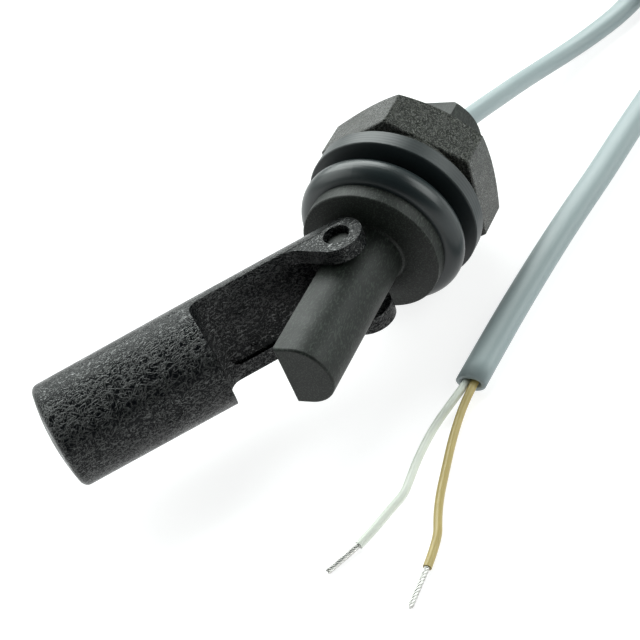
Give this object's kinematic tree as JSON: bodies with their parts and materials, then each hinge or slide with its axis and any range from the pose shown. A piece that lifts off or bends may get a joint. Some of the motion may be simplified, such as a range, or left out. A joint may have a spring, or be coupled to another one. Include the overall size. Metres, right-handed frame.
{
  "type": "float level switch",
  "caption": "Side-mounted float level switch: hinged float on a moulded stem, flange with seal, threaded stud with nut, and a thin two-core cable with stripped ends.",
  "frame": {"origin": "where the thread axis crosses the rear face of the flange, the face that clamps against the tank wall", "axes": "+X along the thread axis towards the nut and cable, +Y the way the float opens, +Z along the float's hinge, up as it lies on its side"},
  "size_m": [0.2001, 0.0668, 0.0275],
  "materials": {
    "filled_nylon": "black glass-filled nylon, smooth moulded",
    "filled_nylon_coarse": "black glass-filled nylon with grey fibre streaks at the skin",
    "seal_rubber": "black nitrile rubber, satin",
    "magnet_alloy": "cast magnet alloy",
    "reed_glass": "clear sealing glass",
    "reed_metal": "nickel-iron reed wire",
    "solder": "dull solder",
    "brown_insulation": "tan brown PVC insulation",
    "white_insulation": "milky white PVC insulation",
    "cable_jacket": "blue-grey PVC jacket, satin",
    "potting_resin": "black potting resin",
    "tinned_strands": "tinned copper strands, twisted"
  },
  "bodies": {
    "switch": {"housing": "filled_nylon", "o_ring": "seal_rubber", "gasket": "seal_rubber", "lock_nut": "filled_nylon_coarse", "reed_glass": "reed_glass", "reed_blade_front": "reed_metal", "reed_blade_rear": "reed_metal", "return_wire": "reed_metal", "solder_joint_brown": "solder", "solder_joint_white": "solder", "inner_core_brown": "brown_insulation", "inner_core_white": "white_insulation", "cable_inner": "cable_jacket", "potting": "potting_resin", "cable_lead": "cable_jacket", "cable_coil": "cable_jacket", "cable_return": "cable_jacket", "white_core": "white_insulation", "brown_core": "brown_insulation", "white_strands": "tinned_strands", "brown_strands": "tinned_strands"},
    "float": {"float_body": "filled_nylon_coarse", "float_cap": "filled_nylon_coarse", "magnet": "magnet_alloy"}
  },
  "joints": [
    {"name": "float_hinge", "type": "hinge", "parent": "switch", "child": "float", "pos_m": [-0.00775, 0.0003, 0], "axis": [0, 0, 1], "range_deg": [0, 43]}
  ]
}
